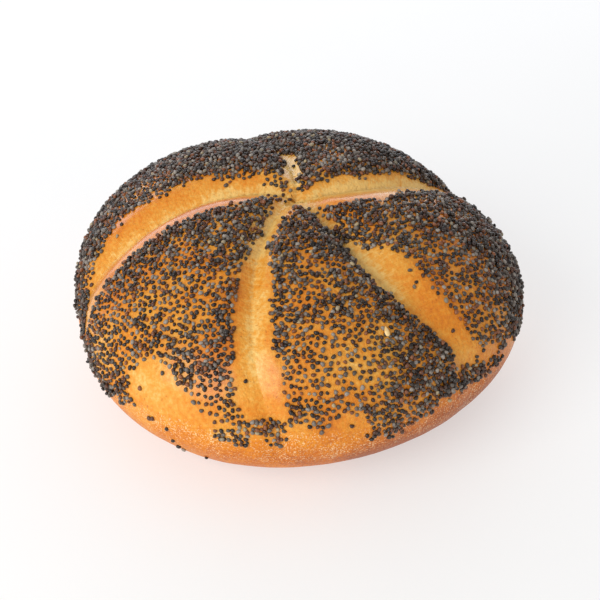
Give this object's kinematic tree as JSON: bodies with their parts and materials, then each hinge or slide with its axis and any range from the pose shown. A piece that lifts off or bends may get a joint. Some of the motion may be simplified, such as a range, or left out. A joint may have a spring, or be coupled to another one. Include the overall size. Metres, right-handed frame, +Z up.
{
  "type": "bread roll",
  "caption": "Round bread roll with a flat base, its domed crown pressed with a five-armed curling star into five petals strewn with small dark seeds.",
  "frame": {"origin": "on the flat base, under the middle of the roll's bounding box", "axes": "+Z up out of the crown, the shown side towards -Y, +X to the right of the viewer"},
  "size_m": [0.1056, 0.1052, 0.0503],
  "materials": {
    "crust": "baked egg-washed wheat crust, satin, golden with darker orange slopes",
    "poppy_seed": "dull slate grey poppy seeds with a little lustre",
    "sesame_seed": "pale cream toasted sesame seed"
  },
  "bodies": {
    "root": {"bread_roll": "crust"}
  },
  "joints": []
}
